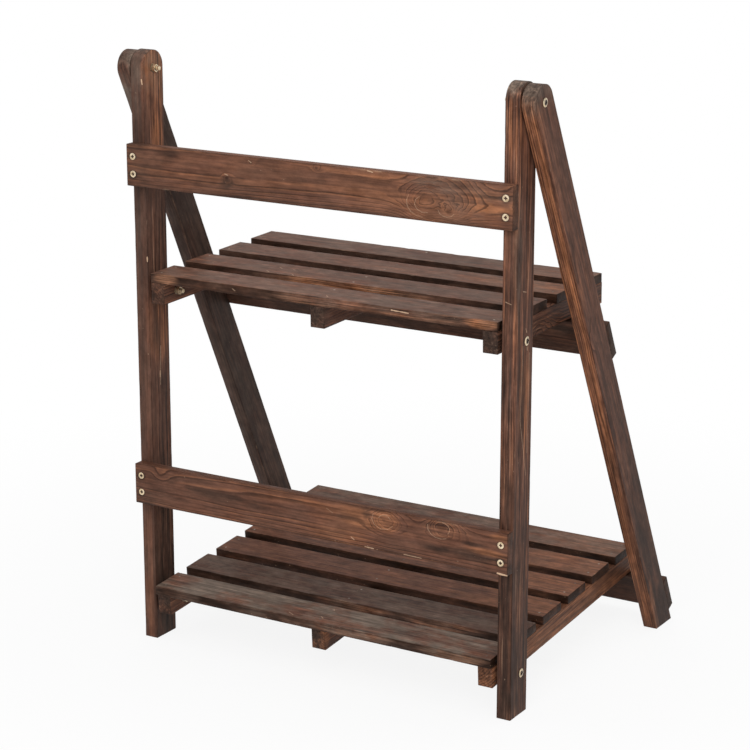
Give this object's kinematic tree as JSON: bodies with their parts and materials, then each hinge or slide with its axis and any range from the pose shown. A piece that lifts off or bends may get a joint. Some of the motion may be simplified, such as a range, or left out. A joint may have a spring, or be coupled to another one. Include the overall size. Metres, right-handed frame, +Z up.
{
  "type": "folding plant stand",
  "caption": "Dark scorched-wood folding A-frame plant stand with slatted upper and lower shelves that lift up and rear legs that swing in to fold it flat.",
  "frame": {"origin": "on the floor, under the middle of the open stand's bounding box", "axes": "+X to the right seen from the front, +Y to the rear, +Z up"},
  "size_m": [0.539, 0.3912, 0.6999],
  "materials": {
    "frame_wood": "scorched, satin",
    "shelf_wood": "scorched, satin",
    "brass_hardware": "yellow plated",
    "nail_steel": "dull"
  },
  "bodies": {
    "front_frame": {"front_post_left": "frame_wood", "front_post_right": "frame_wood", "upper_guard_rail": "frame_wood", "lower_guard_rail": "frame_wood", "guard_rail_screws": "brass_hardware", "leg_pivot_bolt_left": "brass_hardware", "leg_pivot_bolt_right": "brass_hardware", "leg_pivot_nut_left": "brass_hardware", "leg_pivot_nut_right": "brass_hardware", "upper_shelf_bolt_left": "brass_hardware", "upper_shelf_bolt_right": "brass_hardware", "upper_shelf_nut_left": "brass_hardware", "upper_shelf_nut_right": "brass_hardware", "lower_shelf_bolt_left": "brass_hardware", "lower_shelf_bolt_right": "brass_hardware", "lower_shelf_nut_left": "brass_hardware", "lower_shelf_nut_right": "brass_hardware", "pivot_washers": "brass_hardware", "leg_pivot_spacers": "brass_hardware", "shelf_pivot_spacers": "brass_hardware"},
    "rear_frame": {"rear_leg_left": "frame_wood", "rear_leg_right": "frame_wood", "upper_rear_rail": "frame_wood", "lower_rear_rail": "frame_wood", "rear_rail_screws": "brass_hardware"},
    "upper_shelf": {"upper_slat_1": "shelf_wood", "upper_slat_2": "shelf_wood", "upper_slat_3": "shelf_wood", "upper_slat_4": "shelf_wood", "upper_bearer_left": "shelf_wood", "upper_bearer_centre": "shelf_wood", "upper_bearer_right": "shelf_wood", "upper_nails": "nail_steel"},
    "lower_shelf": {"lower_slat_1": "shelf_wood", "lower_slat_2": "shelf_wood", "lower_slat_3": "shelf_wood", "lower_slat_4": "shelf_wood", "lower_slat_5": "shelf_wood", "lower_slat_6": "shelf_wood", "lower_bearer_left": "shelf_wood", "lower_bearer_centre": "shelf_wood", "lower_bearer_right": "shelf_wood", "lower_nails": "nail_steel"}
  },
  "joints": [
    {"name": "rear_frame_fold", "type": "hinge", "parent": "front_frame", "child": "rear_frame", "pos_m": [0, -0.16462, 0.6795], "axis": [-1, 0, 0], "range_deg": [0, 26]},
    {"name": "upper_shelf_fold", "type": "hinge", "parent": "front_frame", "child": "upper_shelf", "pos_m": [0, -0.15962, 0.4245], "axis": [1, 0, 0], "range_deg": [0, 89.02]},
    {"name": "lower_shelf_fold", "type": "hinge", "parent": "front_frame", "child": "lower_shelf", "pos_m": [0, -0.15962, 0.0485], "axis": [1, 0, 0], "range_deg": [0, 85.92]}
  ]
}
